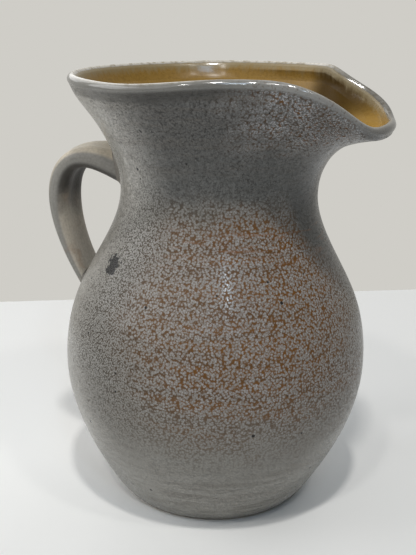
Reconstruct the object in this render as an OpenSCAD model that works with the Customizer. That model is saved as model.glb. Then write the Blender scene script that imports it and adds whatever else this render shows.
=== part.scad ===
// Salt-glazed stoneware pitcher: a thrown body with a pulled spout, a pulled strap handle,
// the two luted joints that hold it, and the glaze that lines the inside.
// Millimetres. +Z is up, the origin is the centre of the base, and the spout points along +X.

/* [Body] */
// Height of the rim on the handle's side
height = 224; // [214:1:236]
// Radius of the flat base
base_r = 48; // [44:0.5:51]
// Greatest radius of the belly
belly_r = 80; // [76:0.5:84]
// Height of the belly's widest line
belly_z = 76; // [70:1:82]
// Smallest radius of the neck
neck_r = 51; // [48:0.5:54]
// Height of the neck's narrowest line
neck_z = 166; // [160:1:170]
// Outer radius of the rolled rim
rim_r = 77; // [74:0.5:79]
// Radius of the rim's round roll
roll_r = 2.6; // [2.2:0.1:3]
// Thickness of the thrown wall
wall = 5; // [4:0.25:6]
// Thickness of the floor
floor_t = 8; // [6:0.5:10]

/* [Spout] */
// How far the lip is pulled out
spout_reach = 17.5; // [14:0.5:21]
// How far the lip is bent down
spout_drop = 22.5; // [14:0.5:25]
// Angle where the pull ends on the spout's left side, +Y
spout_left = 41; // [36:1:48]
// Angle where the softer pull ends on its right side, -Y
spout_right = 62; // [54:1:66]
// How far the throat beside the spout is pressed in
throat_pinch = 7; // [4:0.5:10]
// How far the rim beside the spout rises
throat_rise = 4; // [1:0.5:6]

/* [Handle] */
// Height of the handle's upper root above the neck's narrowest line
handle_top_rise = 8; // [6:0.5:10]
// Height of the handle's lower root above the belly's widest line
handle_foot_rise = 29; // [24:1:34]
// How far the strap arches out from the neck
handle_reach = 48; // [44:1:52]
// Width of the strap at its middle
strap_w = 27.5; // [24:0.5:30]
// Thickness of the strap at its middle
strap_t = 12.2; // [10:0.2:13]
// Width of the clay fillet round each root
luting = 1.6; // [1.2:0.2:3]
// Thickness of the slip under each root
slip_t = 0.6; // [0.4:0.1:1]

/* [Glaze] */
// Thickness of the liner glaze
glaze_t = 0.5; // [0.4:0.05:0.8]
// How far below the rim's roll the liner glaze stops
glaze_stop = 0.5; // [0.2:0.1:4]

/* [Hidden] */
$fn = 120;

// Turned profile: heights, radii and slopes at its few control lines
foot_z = 10;
flare_lift = 1.86;
wall_top_z = height - 2.4 * roll_r;
shoulder_z = belly_z + 0.42 * (neck_z - belly_z);
flare_z = neck_z + 0.62 * (wall_top_z - neck_z) + flare_lift;
profile_z = [0, foot_z, belly_z, shoulder_z, neck_z, flare_z, wall_top_z];
profile_r = [
    base_r,
    base_r + 0.26 * (belly_r - base_r),
    belly_r,
    belly_r - 0.26 * (belly_r - neck_r),
    neck_r,
    neck_r + 0.465 * (rim_r - neck_r),
    rim_r - 0.6 * roll_r,
];
profile_slope = [1.1, 0.63, 0, -0.45, 0, 0.64, 0.42];

// Rows and columns of the surfaces
columns = 80;
wall_rows = 13;
turned_rows = 30;
// Facets stand just outside the true circle, so that they close on the turned part below
facet_grow = 1.0002 / cos(180 / columns);
clear_cut = 0.02;

function ramp(low, high, x) = let (t = max(0, min(1, (x - low) / (high - low)))) t * t * (3 - 2 * t);

// Outer radius and slope of the turned profile at a height, on a cubic curve between control lines
function span(z, k = 0) = k >= len(profile_z) - 2 || z < profile_z[k + 1] ? k : span(z, k + 1);
function outer_r(z) =
    let (k = span(z), h = profile_z[k + 1] - profile_z[k], t = (z - profile_z[k]) / h)
    (2 * t ^ 3 - 3 * t ^ 2 + 1) * profile_r[k] + (t ^ 3 - 2 * t ^ 2 + t) * h * profile_slope[k]
    + (3 * t ^ 2 - 2 * t ^ 3) * profile_r[k + 1] + (t ^ 3 - t ^ 2) * h * profile_slope[k + 1];
function outer_slope(z) =
    let (k = span(z), h = profile_z[k + 1] - profile_z[k], t = (z - profile_z[k]) / h)
    (6 * t - 6 * t ^ 2) * (profile_r[k + 1] - profile_r[k]) / h
    + (3 * t ^ 2 - 4 * t + 1) * profile_slope[k] + (3 * t ^ 2 - 2 * t) * profile_slope[k + 1];

// Point at a depth below the outer face, square to it, as radius and height
function wall_point(z, depth) =
    let (m = outer_slope(z), q = sqrt(1 + m * m)) [outer_r(z) - depth / q, z + depth * m / q];

// Heights of the turned part's rows, from one line up to the neck
function turned_z(low) = [for (i = [0:turned_rows])
    i == turned_rows ? neck_z : low + (neck_z - low) * i / turned_rows];

// Round corner between the floor and the wall inside
corner_rise = 6;
corner_run = 12;
corner_z = floor_t + corner_rise;
function corner(depth) =
    let (
        end = wall_point(corner_z, depth),
        floor_z = floor_t + depth - wall,
        knee = [end[0] - outer_slope(corner_z) * (end[1] - floor_z), floor_z],
        start = [knee[0] - corner_run, floor_z]
    )
    [for (i = [0:6]) let (t = i / 6) (1 - t) ^ 2 * start + 2 * t * (1 - t) * knee + t ^ 2 * end];

// Inside of the turned part at a depth, from the floor's middle up to the neck
function inside_path(depth) = concat(
    [[0, floor_t + depth - wall]],
    corner(depth),
    [for (i = [1:turned_rows]) wall_point(turned_z(corner_z)[i], depth)]
);
function outside_path() = [for (z = turned_z(0)) [outer_r(z), z]];
function reversed(list) = [for (i = [len(list) - 1:-1:0]) list[i]];

// Angles between which the pressed throat fades into the round rim
throat_from = 68;
throat_to = 115;
// Angles between which the rim's rise sinks more slowly on the left
left_rise_from = 20;
left_rise_to = 165;
// Powers by which the pull gathers towards the rim
out_power = 4.8;
up_power = 2.2;
// Angles over which the pull outwards fades on the left and on the right
fade_left = 16;
fade_right = 26;
// Angle where the drop starts to fade, and where it ends past or short of the pull on each side
drop_from = 14;
drop_past_left = 7;
drop_past_right = -9;
// How the soft rim is drawn out and down at an angle from the spout, for a row of full pull
function throat(a) = 1 - ramp(throat_from, throat_to, abs(a));
function rise_share(a) = a > 0 ? 1 - ramp(left_rise_from, left_rise_to, a) : throat(a);
function out_share(a) =
    1 - (a > 0 ? ramp(spout_left - fade_left, spout_left, a) : ramp(spout_right - fade_right, spout_right, -a));
function drop_share(a) =
    1 - (a > 0 ? ramp(drop_from, spout_left + drop_past_left, a)
               : ramp(drop_from, spout_right + drop_past_right, -a));
function pull_out(a) = spout_reach * out_share(a) - throat_pinch * throat(a);
function pull_up(a) = throat_rise * rise_share(a) - spout_drop * drop_share(a);
// Share of the pull that reaches down to a height
function pull_share(z) = max(0, min(1, (z - neck_z) / (wall_top_z - neck_z)));
function ring(point, z) =
    let (share = pull_share(z))
    [for (i = [0:columns - 1])
        let (
            angle = 360 * i / columns - 180,
            r = (point[0] + pull_out(angle) * share ^ out_power) * facet_grow
        )
        [r * cos(angle), r * sin(angle), point[1] + pull_up(angle) * share ^ up_power]];

// Rows of the pulled neck: outer face upwards, round roll over the top, inner face downwards
function neck_rows(top) = [for (j = [0:wall_rows]) neck_z + (top - neck_z) * j / wall_rows];
roll_centre = [rim_r - roll_r, height - roll_r];
roll_angles = [-50, -15, 20, 55, 90, 125, 160];
// Step by which the inner face stands above the outer one at the roll, and the glaze's edge slopes back
edge_step = 0.4;
inner_top_z = wall_top_z + edge_step;
glaze_top_z = inner_top_z - glaze_stop;
function neck_rings() = concat(
    [for (z = neck_rows(wall_top_z)) ring(wall_point(z, 0), z)],
    [for (a = roll_angles) ring(roll_centre + roll_r * [cos(a), sin(a)], height)],
    [ring(wall_point(inner_top_z, wall), inner_top_z)],
    reversed([for (z = neck_rows(glaze_top_z)) ring(wall_point(z, wall), z)])
);
function glaze_rings() = concat(
    [for (z = neck_rows(glaze_top_z)) ring(wall_point(z, wall), z)],
    reversed([for (z = neck_rows(glaze_top_z - edge_step)) ring(wall_point(z, wall + glaze_t), z)])
);

// Skin over rings of points, either closed into a loop or capped at both ends
module skin(rings, loop) {
    n = len(rings[0]);
    m = len(rings);
    sides = [for (j = [0:m - (loop ? 1 : 2)], i = [0:n - 1])
        let (a = j * n, b = (j + 1) % m * n, k = (i + 1) % n)
        each [[a + i, b + i, b + k], [a + i, b + k, a + k]]];
    caps = loop ? [] : [[for (i = [0:n - 1]) i], [for (i = [n - 1:-1:0]) (m - 1) * n + i]];
    polyhedron([for (r = rings) each r], concat(sides, caps), convexity = 8);
}

// Handle's middle line, a cubic curve in the XZ plane from inside the neck's wall to inside the belly's
handle_top_z = neck_z + handle_top_rise;
handle_foot_z = belly_z + handle_foot_rise;
root_sink = 3;
root_drop = 1;
foot_sink = 10;
arch_rise = 21.5;
arch_fall = 38;
lower_reach = 0.37 * handle_reach;
handle_line = [
    [-(neck_r - root_sink), handle_top_z - root_drop],
    [-(neck_r + handle_reach), handle_top_z + arch_rise],
    [-(belly_r + lower_reach), handle_foot_z + arch_fall],
    [-(belly_r - foot_sink), handle_foot_z],
];
function line_point(t) =
    (1 - t) ^ 3 * handle_line[0] + 3 * t * (1 - t) ^ 2 * handle_line[1]
    + 3 * t ^ 2 * (1 - t) * handle_line[2] + t ^ 3 * handle_line[3];
function line_way(t) = let (d = line_point(t + 0.005) - line_point(t - 0.005)) d / norm(d);

// Strap's section: broad and thick at the upper root, thinner and narrower lower down
section_points = 24;
function strap_half_w(t) = strap_w / 2 * (1 + 0.22 * (1 - ramp(0, 0.35, t)) - 0.1 * ramp(0.55, 1, t));
function strap_half_t(t) = strap_t / 2 * (1 + 0.4 * (1 - ramp(0, 0.3, t)) - 0.39 * ramp(0.5, 0.95, t));
function bulge(v) = sign(v) * abs(v) ^ 0.8;
function strap_ring(t, grow) =
    let (c = line_point(t), w = line_way(t))
    [for (i = [0:section_points - 1])
        let (
            angle = 360 * i / section_points,
            across = bulge(cos(angle)) * (strap_half_w(t) + grow),
            deep = bulge(sin(angle)) * (strap_half_t(t) + grow)
        )
        [c[0] - w[1] * deep, across, c[1] + w[0] * deep]];

module strap() {
    skin([for (i = [0:34]) strap_ring(i / 34, 0)], false);
}

// Fillet round a root: widest at the pot and thin where it runs out along the strap
fillet_end = 0.35;
// Shares of the middle line's length at which the two fillets run out
upper_fillet_t = 0.085;
lower_fillet_t = 0.9;
module fillet(t_pot, t_out) {
    steps = 6;
    share = [for (i = [0:steps]) i / steps];
    rings = [for (s = share) strap_ring(t_pot + (t_out - t_pot) * s, fillet_end + luting * (1 - s) ^ 2)];
    skin(t_out > t_pot ? rings : reversed(rings), false);
}

// The pot's outer form as a solid, grown by a clearance, for seating the roots on it
module pot_form(grow) {
    upper = [for (z = neck_rows(wall_top_z)) [outer_r(z) * facet_grow, z]];
    outline = concat(outside_path(), [for (j = [1:wall_rows]) upper[j]]);
    rotate_extrude()
        polygon(concat([[0, 0]], [for (p = outline) [p[0] + grow, p[1]]], [[0, wall_top_z]]));
}

module seated_strap() {
    difference() {
        strap();
        pot_form(slip_t);
    }
}

module root_joint(t_pot, t_out) {
    difference() {
        fillet(t_pot, t_out);
        pot_form(clear_cut);
        seated_strap();
    }
}

module thrown_body() {
    color("#7c7a75") union() {
        rotate_extrude()
            polygon(concat([[0, 0]], outside_path(), reversed(inside_path(wall))));
        skin(neck_rings(), true);
    }
}

module handle() {
    color("#79756d") seated_strap();
}

module upper_handle_joint() {
    color("#6d6963") root_joint(0, upper_fillet_t);
}

module lower_handle_joint() {
    color("#6d6963") root_joint(1, lower_fillet_t);
}

module liner_glaze() {
    color("#8d6a2c") union() {
        rotate_extrude()
            polygon(concat(inside_path(wall), reversed(inside_path(wall + glaze_t))));
        skin(glaze_rings(), true);
    }
}

thrown_body();
handle();
upper_handle_joint();
lower_handle_joint();
liner_glaze();
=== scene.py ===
import math

import bpy
import numpy as np
from mathutils import Matrix, Vector


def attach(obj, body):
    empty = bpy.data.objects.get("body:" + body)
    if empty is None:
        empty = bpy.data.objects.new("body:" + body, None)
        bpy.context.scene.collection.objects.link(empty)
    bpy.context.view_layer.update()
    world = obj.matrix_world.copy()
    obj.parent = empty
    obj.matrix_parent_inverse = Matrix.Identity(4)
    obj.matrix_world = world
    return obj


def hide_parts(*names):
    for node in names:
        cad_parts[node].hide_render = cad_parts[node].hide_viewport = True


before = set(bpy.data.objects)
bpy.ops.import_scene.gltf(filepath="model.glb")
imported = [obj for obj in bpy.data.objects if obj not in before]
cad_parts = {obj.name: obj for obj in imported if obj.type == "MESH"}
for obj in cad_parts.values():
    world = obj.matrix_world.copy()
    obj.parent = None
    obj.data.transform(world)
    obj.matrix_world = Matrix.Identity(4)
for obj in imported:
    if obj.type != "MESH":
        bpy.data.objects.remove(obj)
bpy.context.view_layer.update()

MM = 0.001

# Sizes of the thrown body
HEIGHT = 224.0
BASE_R = 48.0
BELLY_R = 80.0
BELLY_Z = 76.0
NECK_R = 51.0
NECK_Z = 166.0
RIM_R = 77.0
ROLL_R = 2.6
WALL = 5.0
FLOOR_T = 8.0
FOOT_Z = 10.0
FOOT_ROUND = 1.4
CORNER_RISE = 6.0

# Sizes of the pulled spout, lengths in millimetres and angles in degrees
SPOUT_REACH = 17.49
SPOUT_DROP = 22.5
SPOUT_LEFT = 41.0
SPOUT_RIGHT = 62.0
FADE_LEFT = 16.0
FADE_RIGHT = 26.0
DROP_FROM = 14.0
DROP_PAST_LEFT = 7.0
DROP_PAST_RIGHT = -9.0
THROAT_PINCH = 7.0
THROAT_RISE = 4.0
THROAT_FROM = 68.0
THROAT_TO = 115.0
LEFT_RISE_FROM = 20.0
LEFT_RISE_TO = 165.0
OUT_POWER = 4.8
UP_POWER = 2.2
SOFT_PULL = (-5.0, -2.5, 0.0, 2.5, 5.0)

# Sizes of the pulled strap handle
HANDLE_TOP_Z = NECK_Z + 8.0
HANDLE_FOOT_Z = BELLY_Z + 29.0
HANDLE_REACH = 48.0
STRAP_W = 27.5
STRAP_T = 12.2
ROOT_SINK = 3.0
ROOT_DROP = 1.0
FOOT_SINK = 10.0
ARCH_RISE = 21.5
ARCH_FALL = 38.0

# How the strap swells towards its root and thins towards its foot, with the shares of its line
ROOT_WIDER = 0.22
ROOT_WIDER_TO = 0.35
FOOT_NARROWER = 0.1
FOOT_NARROWER_FROM = 0.55
ROOT_THICKER = 0.4
ROOT_THICKER_TO = 0.3
FOOT_THINNER = 0.39
FOOT_THINNER_FROM = 0.5
FOOT_THINNER_TO = 0.95

# Sizes of the liner glaze
GLAZE_T = 0.5
GLAZE_STOP = 0.5

# Throwing rings outside
RING_DEPTH = 0.3
RING_PITCH = 6.5

# Heights that follow from the sizes
WALL_TOP_Z = HEIGHT - 2.4 * ROLL_R
INNER_TOP_Z = WALL_TOP_Z + 0.4
GLAZE_TOP_Z = INNER_TOP_Z - GLAZE_STOP
SHOULDER_Z = BELLY_Z + 0.42 * (NECK_Z - BELLY_Z)
FLARE_Z = NECK_Z + 0.62 * (WALL_TOP_Z - NECK_Z) + 1.86

# Turned profile: heights, radii and slopes at its few control lines
PROFILE_Z = np.array([0, FOOT_Z, BELLY_Z, SHOULDER_Z, NECK_Z, FLARE_Z, WALL_TOP_Z])
PROFILE_R = np.array([
    BASE_R,
    BASE_R + 0.26 * (BELLY_R - BASE_R),
    BELLY_R,
    BELLY_R - 0.26 * (BELLY_R - NECK_R),
    NECK_R,
    NECK_R + 0.465 * (RIM_R - NECK_R),
    RIM_R - 0.6 * ROLL_R,
])
PROFILE_SLOPE = np.array([1.1, 0.63, 0, -0.45, 0, 0.64, 0.42])


def ramp(low, high, x):
    """Smooth rise from 0 at low to 1 at high."""
    t = np.clip((np.asarray(x, float) - low) / (high - low), 0, 1)
    return t * t * (3 - 2 * t)


def outer_profile(z):
    """Outer radius and its slope at a height of the turned profile."""
    z = np.asarray(z, float)
    lower = np.clip(np.searchsorted(PROFILE_Z, z, side="right") - 1, 0, len(PROFILE_Z) - 2)
    upper = lower + 1
    tall = PROFILE_Z[upper] - PROFILE_Z[lower]
    t = (z - PROFILE_Z[lower]) / tall
    low_r, high_r = PROFILE_R[lower], PROFILE_R[upper]
    low_slope, high_slope = PROFILE_SLOPE[lower], PROFILE_SLOPE[upper]
    r = (2 * t**3 - 3 * t**2 + 1) * low_r + (t**3 - 2 * t**2 + t) * tall * low_slope
    r = r + (3 * t**2 - 2 * t**3) * high_r + (t**3 - t**2) * tall * high_slope
    slope = (6 * t - 6 * t**2) * (high_r - low_r) / tall
    slope = slope + (3 * t**2 - 4 * t + 1) * low_slope + (3 * t**2 - 2 * t) * high_slope
    return r, slope


def wall_points(z, depth):
    """Points at a depth below the outer face, square to it, as rows of radius and height."""
    r, slope = outer_profile(z)
    slant = np.sqrt(1 + slope * slope)
    return np.column_stack([r - depth / slant, z + depth * slope / slant])


def pull_share(z):
    return np.clip((np.asarray(z, float) - NECK_Z) / (WALL_TOP_Z - NECK_Z), 0, 1)


def bend(start, knee, end, t):
    """Points on a soft bend from start to end, drawn towards the knee, at shares of its way."""
    return (1 - t) ** 2 * start + 2 * t * (1 - t) * knee + t**2 * end


def floor_corner(depth, count):
    """Round corner between the floor and the wall inside, at a depth below the outer face."""
    corner_z = FLOOR_T + CORNER_RISE
    end = wall_points(np.array([corner_z]), depth)[0]
    floor_z = FLOOR_T + np.mean(depth) - WALL
    slope = outer_profile(corner_z)[1]
    knee = np.array([end[0] - slope * (end[1] - floor_z), floor_z])
    start = knee - np.array([12.0, 0])
    t = np.linspace(0, 1, count)[:, None]
    return bend(start, knee, end, t), corner_z, floor_z


# Values that a half section carries for each of its points
SECTION_VALUES = ("share", "turned", "outside", "lip", "crest", "inner", "below")

# First row, last row and softening passes, at the groove under the roll and at the turn inside it
GROOVE_SOFTENED = (216, 223, 1)
TURN_ROUNDED = (238, 264, 30)

# Way down from the crest over the inside of the roll to the inner face
ROLL_WAY = 6.4


def below_crest(z):
    """Way down from the crest to a height of the inner face."""
    return ROLL_WAY + INNER_TOP_Z - z


class Section:
    """A half section of a turned piece: points from the axis back to the axis, with values for each."""

    def __init__(self):
        self.runs = []

    def add(self, points, **values):
        run = np.zeros((len(points), 2 + len(SECTION_VALUES)))
        run[:, :2] = points
        for name, value in values.items():
            run[:, 2 + SECTION_VALUES.index(name)] = value
        self.runs.append(run)

    def table(self):
        return np.vstack(self.runs)


def body_section():
    """Foot, outer face, round rim and inner face of the thrown body."""
    section = Section()
    section.add(np.column_stack([np.linspace(0, BASE_R - FOOT_ROUND, 9), np.zeros(9)]))
    t = np.linspace(0, 1, 6)[1:-1, None]
    start = np.array([BASE_R - FOOT_ROUND, 0.0])
    knee = np.array([BASE_R, 0.0])
    end = np.array([outer_profile(FOOT_ROUND)[0], FOOT_ROUND])
    section.add(bend(start, knee, end, t))
    z = np.linspace(FOOT_ROUND, WALL_TOP_Z, 206)
    outside = ramp(FOOT_ROUND, 5, z)
    section.add(wall_points(z, 0), share=pull_share(z), turned=z, outside=outside)
    degrees = np.linspace(-50, 165, 26)
    angle = np.radians(degrees)
    roll = np.column_stack([
        RIM_R - ROLL_R + ROLL_R * np.cos(angle),
        HEIGHT - ROLL_R + ROLL_R * np.sin(angle),
    ])
    crest = np.exp(-(((degrees - 100) / 42) ** 2))
    inner = ramp(112, 160, degrees)
    below = np.maximum(angle - math.radians(100), 0) * ROLL_R
    lip = ramp(-50, -10, degrees)
    section.add(roll, share=1, turned=HEIGHT, lip=lip, crest=crest, inner=inner, below=below)
    # The ledge between the roll and the inner face, then the face itself, closely spaced at its top
    face = wall_points(np.array([INNER_TOP_Z]), WALL)[0]
    step = np.linspace(0, 1, 7)[1:-1]
    ledge = roll[-1] + (face - roll[-1]) * step[:, None]
    ledge_way = below[-1] + (ROLL_WAY - below[-1]) * step
    section.add(ledge, share=1, turned=HEIGHT, inner=1, below=ledge_way)
    turn_z = INNER_TOP_Z - 9.0
    close = np.linspace(INNER_TOP_Z, turn_z, 19)
    z = np.concatenate([close, np.linspace(turn_z, FLOOR_T + CORNER_RISE, 66)[1:]])
    section.add(wall_points(z, WALL), share=pull_share(z), turned=z, inner=1, below=below_crest(z))
    corner, _, floor_z = floor_corner(WALL, 7)
    section.add(corner[::-1][1:], inner=1, below=HEIGHT)
    section.add(np.array([[20.0, floor_z], [0.0, floor_z]]), inner=1, below=HEIGHT)
    rows = section.table()
    # The groove under the roll is softened a little, and the turn into the inner face is rounded
    for first, last, passes in (GROOVE_SOFTENED, TURN_ROUNDED):
        for _ in range(passes):
            soft = rows[:, :2].copy()
            soft[first:last] = 0.25 * rows[first - 1:last - 1, :2] + 0.5 * rows[first:last, :2]
            soft[first:last] += 0.25 * rows[first + 1:last + 1, :2]
            rows[:, :2] = soft
    return rows


def liner_section():
    """Poured glaze: its inner face from the floor up, a feathered edge, and its back in the wall."""
    section = Section()
    corner, corner_z, floor_z = floor_corner(WALL + GLAZE_T, 9)
    section.add(np.array([[0.0, floor_z], [12.0, floor_z], [24.0, floor_z]]), outside=1, below=HEIGHT)
    section.add(corner, outside=1, below=HEIGHT)
    z = np.linspace(corner_z, GLAZE_TOP_Z, 150)[1:]
    # Its thin top edge sinks into the body, where the same amber runs on over the clay
    sunk = ramp(GLAZE_TOP_Z - 8.0, GLAZE_TOP_Z - 2.5, z)
    depth = WALL + GLAZE_T - (GLAZE_T + 0.7) * sunk
    section.add(wall_points(z, depth), share=pull_share(z), turned=z, outside=1, below=below_crest(z))
    back = WALL - 0.9
    z = np.linspace(GLAZE_TOP_Z - 0.1, corner_z, 60)
    section.add(wall_points(z, back), share=pull_share(z), turned=z)
    corner, _, floor_z = floor_corner(back, 7)
    section.add(corner[::-1][1:])
    section.add(np.array([[20.0, floor_z], [0.0, floor_z]]))
    return section.table()


class Bench:
    """Lays nodes in one tree. An input may be a number, a tuple, a string or another node's socket."""

    def __init__(self, tree):
        self.tree = tree

    def feed(self, socket, value):
        if isinstance(value, bpy.types.NodeSocket):
            self.tree.links.new(value, socket)
        else:
            socket.default_value = value

    def put(self, kind, inputs=None, **settings):
        node = self.tree.nodes.new(kind)
        for name, value in settings.items():
            setattr(node, name, value)
        for key, value in (inputs or {}).items():
            self.feed(node.inputs[key], value)
        return node

    def math(self, operation, a, b=None):
        values = {i: v for i, v in enumerate((a, b)) if v is not None}
        return self.put("ShaderNodeMath", values, operation=operation).outputs[0]

    def add(self, a, b):
        return self.math("ADD", a, b)

    def sub(self, a, b):
        return self.math("SUBTRACT", a, b)

    def mul(self, a, *more):
        for b in more:
            a = self.math("MULTIPLY", a, b)
        return a

    def larger(self, a, b):
        return self.math("MAXIMUM", a, b)

    def rest(self, a):
        """One minus a value."""
        return self.math("SUBTRACT", 1.0, a)

    def rise(self, low, high, x):
        """Smooth rise from 0 at low to 1 at high."""
        inputs = {"Value": x, "From Min": low, "From Max": high}
        return self.put("ShaderNodeMapRange", inputs, interpolation_type="SMOOTHSTEP").outputs[0]

    def span(self, low, high, to_low, to_high, x):
        inputs = {"Value": x, "From Min": low, "From Max": high, "To Min": to_low, "To Max": to_high}
        return self.put("ShaderNodeMapRange", inputs).outputs[0]

    def vector(self, operation, a, b=None):
        values = {i: v for i, v in enumerate((a, b)) if v is not None}
        return self.put("ShaderNodeVectorMath", values, operation=operation).outputs[0]

    def scaled(self, vector, factor):
        node = self.put("ShaderNodeVectorMath", {0: vector, "Scale": factor}, operation="SCALE")
        return node.outputs[0]

    def join(self, x, y, z):
        return self.put("ShaderNodeCombineXYZ", {0: x, 1: y, 2: z}).outputs[0]

    def split(self, vector):
        return self.put("ShaderNodeSeparateXYZ", {0: vector}).outputs

    def noise(self, vector, scale, detail=2.0, roughness=0.5):
        inputs = {"Vector": vector, "Scale": scale, "Detail": detail, "Roughness": roughness}
        return self.put("ShaderNodeTexNoise", inputs).outputs[0]

    def cells(self, vector, scale, randomness=1.0):
        inputs = {"Vector": vector, "Scale": scale, "Randomness": randomness}
        return self.put("ShaderNodeTexVoronoi", inputs).outputs

    def over(self, colour, tone, *masks):
        """A tone laid over a colour, as far as the product of the masks says."""
        return self.tint(self.mul(*masks), colour, shade(*tone))

    def tint(self, factor, a, b, blend="MIX"):
        node = self.put("ShaderNodeMix", data_type="RGBA", blend_type=blend)
        self.feed(node.inputs[0], factor)
        self.feed(node.inputs[6], a)
        self.feed(node.inputs[7], b)
        return node.outputs[2]


def new_tree(name, kind, inputs, outputs):
    """A node group with named sockets, a bench to lay it out on, and its input and output nodes."""
    tree = bpy.data.node_groups.new(name, kind)
    for label, socket, value in inputs:
        item = tree.interface.new_socket(label, in_out="INPUT", socket_type=socket)
        if value is not None:
            item.default_value = value
    for label, socket in outputs:
        tree.interface.new_socket(label, in_out="OUTPUT", socket_type=socket)
    bench = Bench(tree)
    return tree, bench, bench.put("NodeGroupInput").outputs, bench.put("NodeGroupOutput").inputs


FLOAT = "NodeSocketFloat"
COUNT = "NodeSocketInt"
SHAPE = "NodeSocketGeometry"
PLACE = "NodeSocketVector"
FINISH = "NodeSocketMaterial"
COLOUR = "NodeSocketColor"

# Points this close are one, in metres
MERGED_WITHIN = 2e-6


def sampled(bench, shape, name, kind, index):
    """A named value of the input shape, read at an index."""
    if name == "position":
        value = bench.put("GeometryNodeInputPosition").outputs[0]
    else:
        value = bench.put("GeometryNodeInputNamedAttribute", {"Name": name}, data_type=kind).outputs[0]
    node = bench.put("GeometryNodeSampleIndex", data_type=kind, domain="POINT", clamp=True)
    bench.feed(node.inputs["Geometry"], shape)
    bench.feed(node.inputs["Value"], value)
    bench.feed(node.inputs["Index"], index)
    return node.outputs[0]


def swept_grid(bench, across, along):
    """A unit grid, with its two runs from 0 to 1."""
    inputs = {"Size X": 1.0, "Size Y": 1.0, "Vertices X": across, "Vertices Y": along}
    grid = bench.put("GeometryNodeMeshGrid", inputs).outputs["Mesh"]
    spot = bench.split(bench.put("GeometryNodeInputPosition").outputs[0])
    u = bench.add(spot[0], 0.5)
    v = bench.add(spot[1], 0.5)
    return grid, u, v


def kept(bench, shape, name, value):
    """The shape with a value stored on its points under a name."""
    inputs = {"Geometry": shape, "Name": name, "Value": value}
    node = bench.put("GeometryNodeStoreNamedAttribute", inputs, data_type="FLOAT", domain="POINT")
    return node.outputs[0]


def closed_and_finished(bench, shape, finish):
    """Seam and poles merged, smooth, realized and with its finish set."""
    steps = {
        "MergeByDistance": {"Distance": MERGED_WITHIN},
        "SetShadeSmooth": {},
        "RealizeInstances": {},
        "SetMaterial": {"Material": finish},
    }
    for step, inputs in steps.items():
        shape = bench.put("GeometryNode" + step, {"Geometry": shape, **inputs}).outputs[0]
    return shape


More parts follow.
